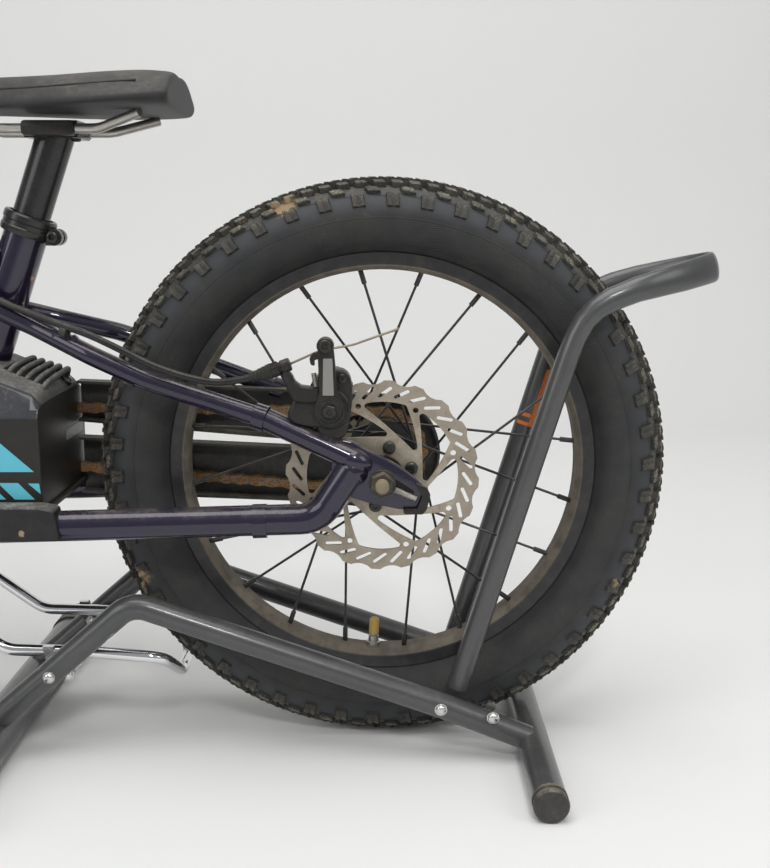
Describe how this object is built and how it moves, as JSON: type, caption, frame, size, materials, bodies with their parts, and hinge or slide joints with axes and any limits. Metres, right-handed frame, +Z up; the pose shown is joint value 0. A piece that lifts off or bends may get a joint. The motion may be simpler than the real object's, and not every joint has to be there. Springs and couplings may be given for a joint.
{
  "type": "children's electric mountain bike on a floor stand",
  "caption": "Small electric balance-style mountain bike with knobbly tyres, disc brake and chain drive, parked upright in a tubular wheel stand.",
  "frame": {"origin": "on the floor, midway along the whole length, in the bike's middle plane", "axes": "+X to the rear along the bike, +Y to the bike's right (drive) side, +Z up"},
  "size_m": [1.228, 0.5432, 0.6649],
  "materials": {
    "frame_paint": "dark purple metallic, gloss, dusty on top",
    "black_paint": "satin black",
    "black_plastic": "moulded black with light blue stripes",
    "dusty_plastic": "moulded black under dry grey dust",
    "tyre_rubber": "knobbly, with dry mud on the knobs",
    "rotor_steel": "stainless, dusty",
    "axle_steel": "zinc plated, dull",
    "chain_steel": "steel with brown rust",
    "grip_rubber": "ribbed",
    "saddle_vinyl": "soft grained cover",
    "casing_rubber": "smooth",
    "wire_steel": "bare steel strand",
    "stand_paint": "grey powder coat, semi-matt",
    "chrome_rod": "bright"
  },
  "bodies": {
    "frame": {"axle_tensioners": "black_paint", "brake_casing": "casing_rubber", "brake_wire": "wire_steel", "cable_barrel": "black_paint", "cable_clip": "casing_rubber", "caliper_arm": "black_paint", "caliper_body": "black_paint", "chain": "chain_steel", "chain_guard": "black_plastic", "cross_member": "frame_paint", "down_tube": "frame_paint", "dropout_left": "frame_paint", "dropout_right": "frame_paint", "footrest_left": "black_plastic", "footrest_right": "black_plastic", "head_tube": "frame_paint", "housing_cover": "dusty_plastic", "lower_tube_left": "frame_paint", "lower_tube_right": "frame_paint", "motor_housing": "black_plastic", "rear_axle": "axle_steel", "saddle": "saddle_vinyl", "saddle_rails": "axle_steel", "seat_clamp": "black_paint", "seat_post": "black_paint", "seat_stay_left": "frame_paint", "seat_stay_right": "frame_paint", "seat_tube": "frame_paint", "stand_bail": "chrome_rod", "stand_base_left": "stand_paint", "stand_base_right": "stand_paint", "stand_caps": "black_plastic", "stand_feet": "stand_paint", "stand_hoop": "stand_paint", "top_tube": "frame_paint"},
    "rear_wheel": {"rear_tyre": "tyre_rubber", "rear_rim": "black_paint", "rear_spokes": "black_paint", "rear_hub": "black_paint", "brake_rotor": "rotor_steel", "rear_sprocket": "axle_steel"},
    "front_wheel": {"front_tyre": "tyre_rubber", "front_rim": "black_paint", "front_spokes": "black_paint", "front_hub": "black_paint"},
    "steering": {"fork": "frame_paint", "front_axle": "axle_steel", "stem": "black_paint", "handlebar": "black_paint", "grip_left": "grip_rubber", "grip_right": "grip_rubber", "brake_lever": "black_paint", "front_casing": "casing_rubber"}
  },
  "joints": [
    {"name": "rear_wheel_spin", "type": "hinge", "parent": "frame", "child": "rear_wheel", "pos_m": [0.365, 0, 0.214], "axis": [0, 1, 0], "continuous": true},
    {"name": "steering_turn", "type": "hinge", "parent": "frame", "child": "steering", "pos_m": [-0.24963, 0, 0.506], "axis": [0.3746, 0, 0.9272], "range_deg": [-70, 70]},
    {"name": "front_wheel_spin", "type": "hinge", "parent": "steering", "child": "front_wheel", "pos_m": [-0.4, 0, 0.214], "axis": [0, 1, 0], "continuous": true}
  ]
}
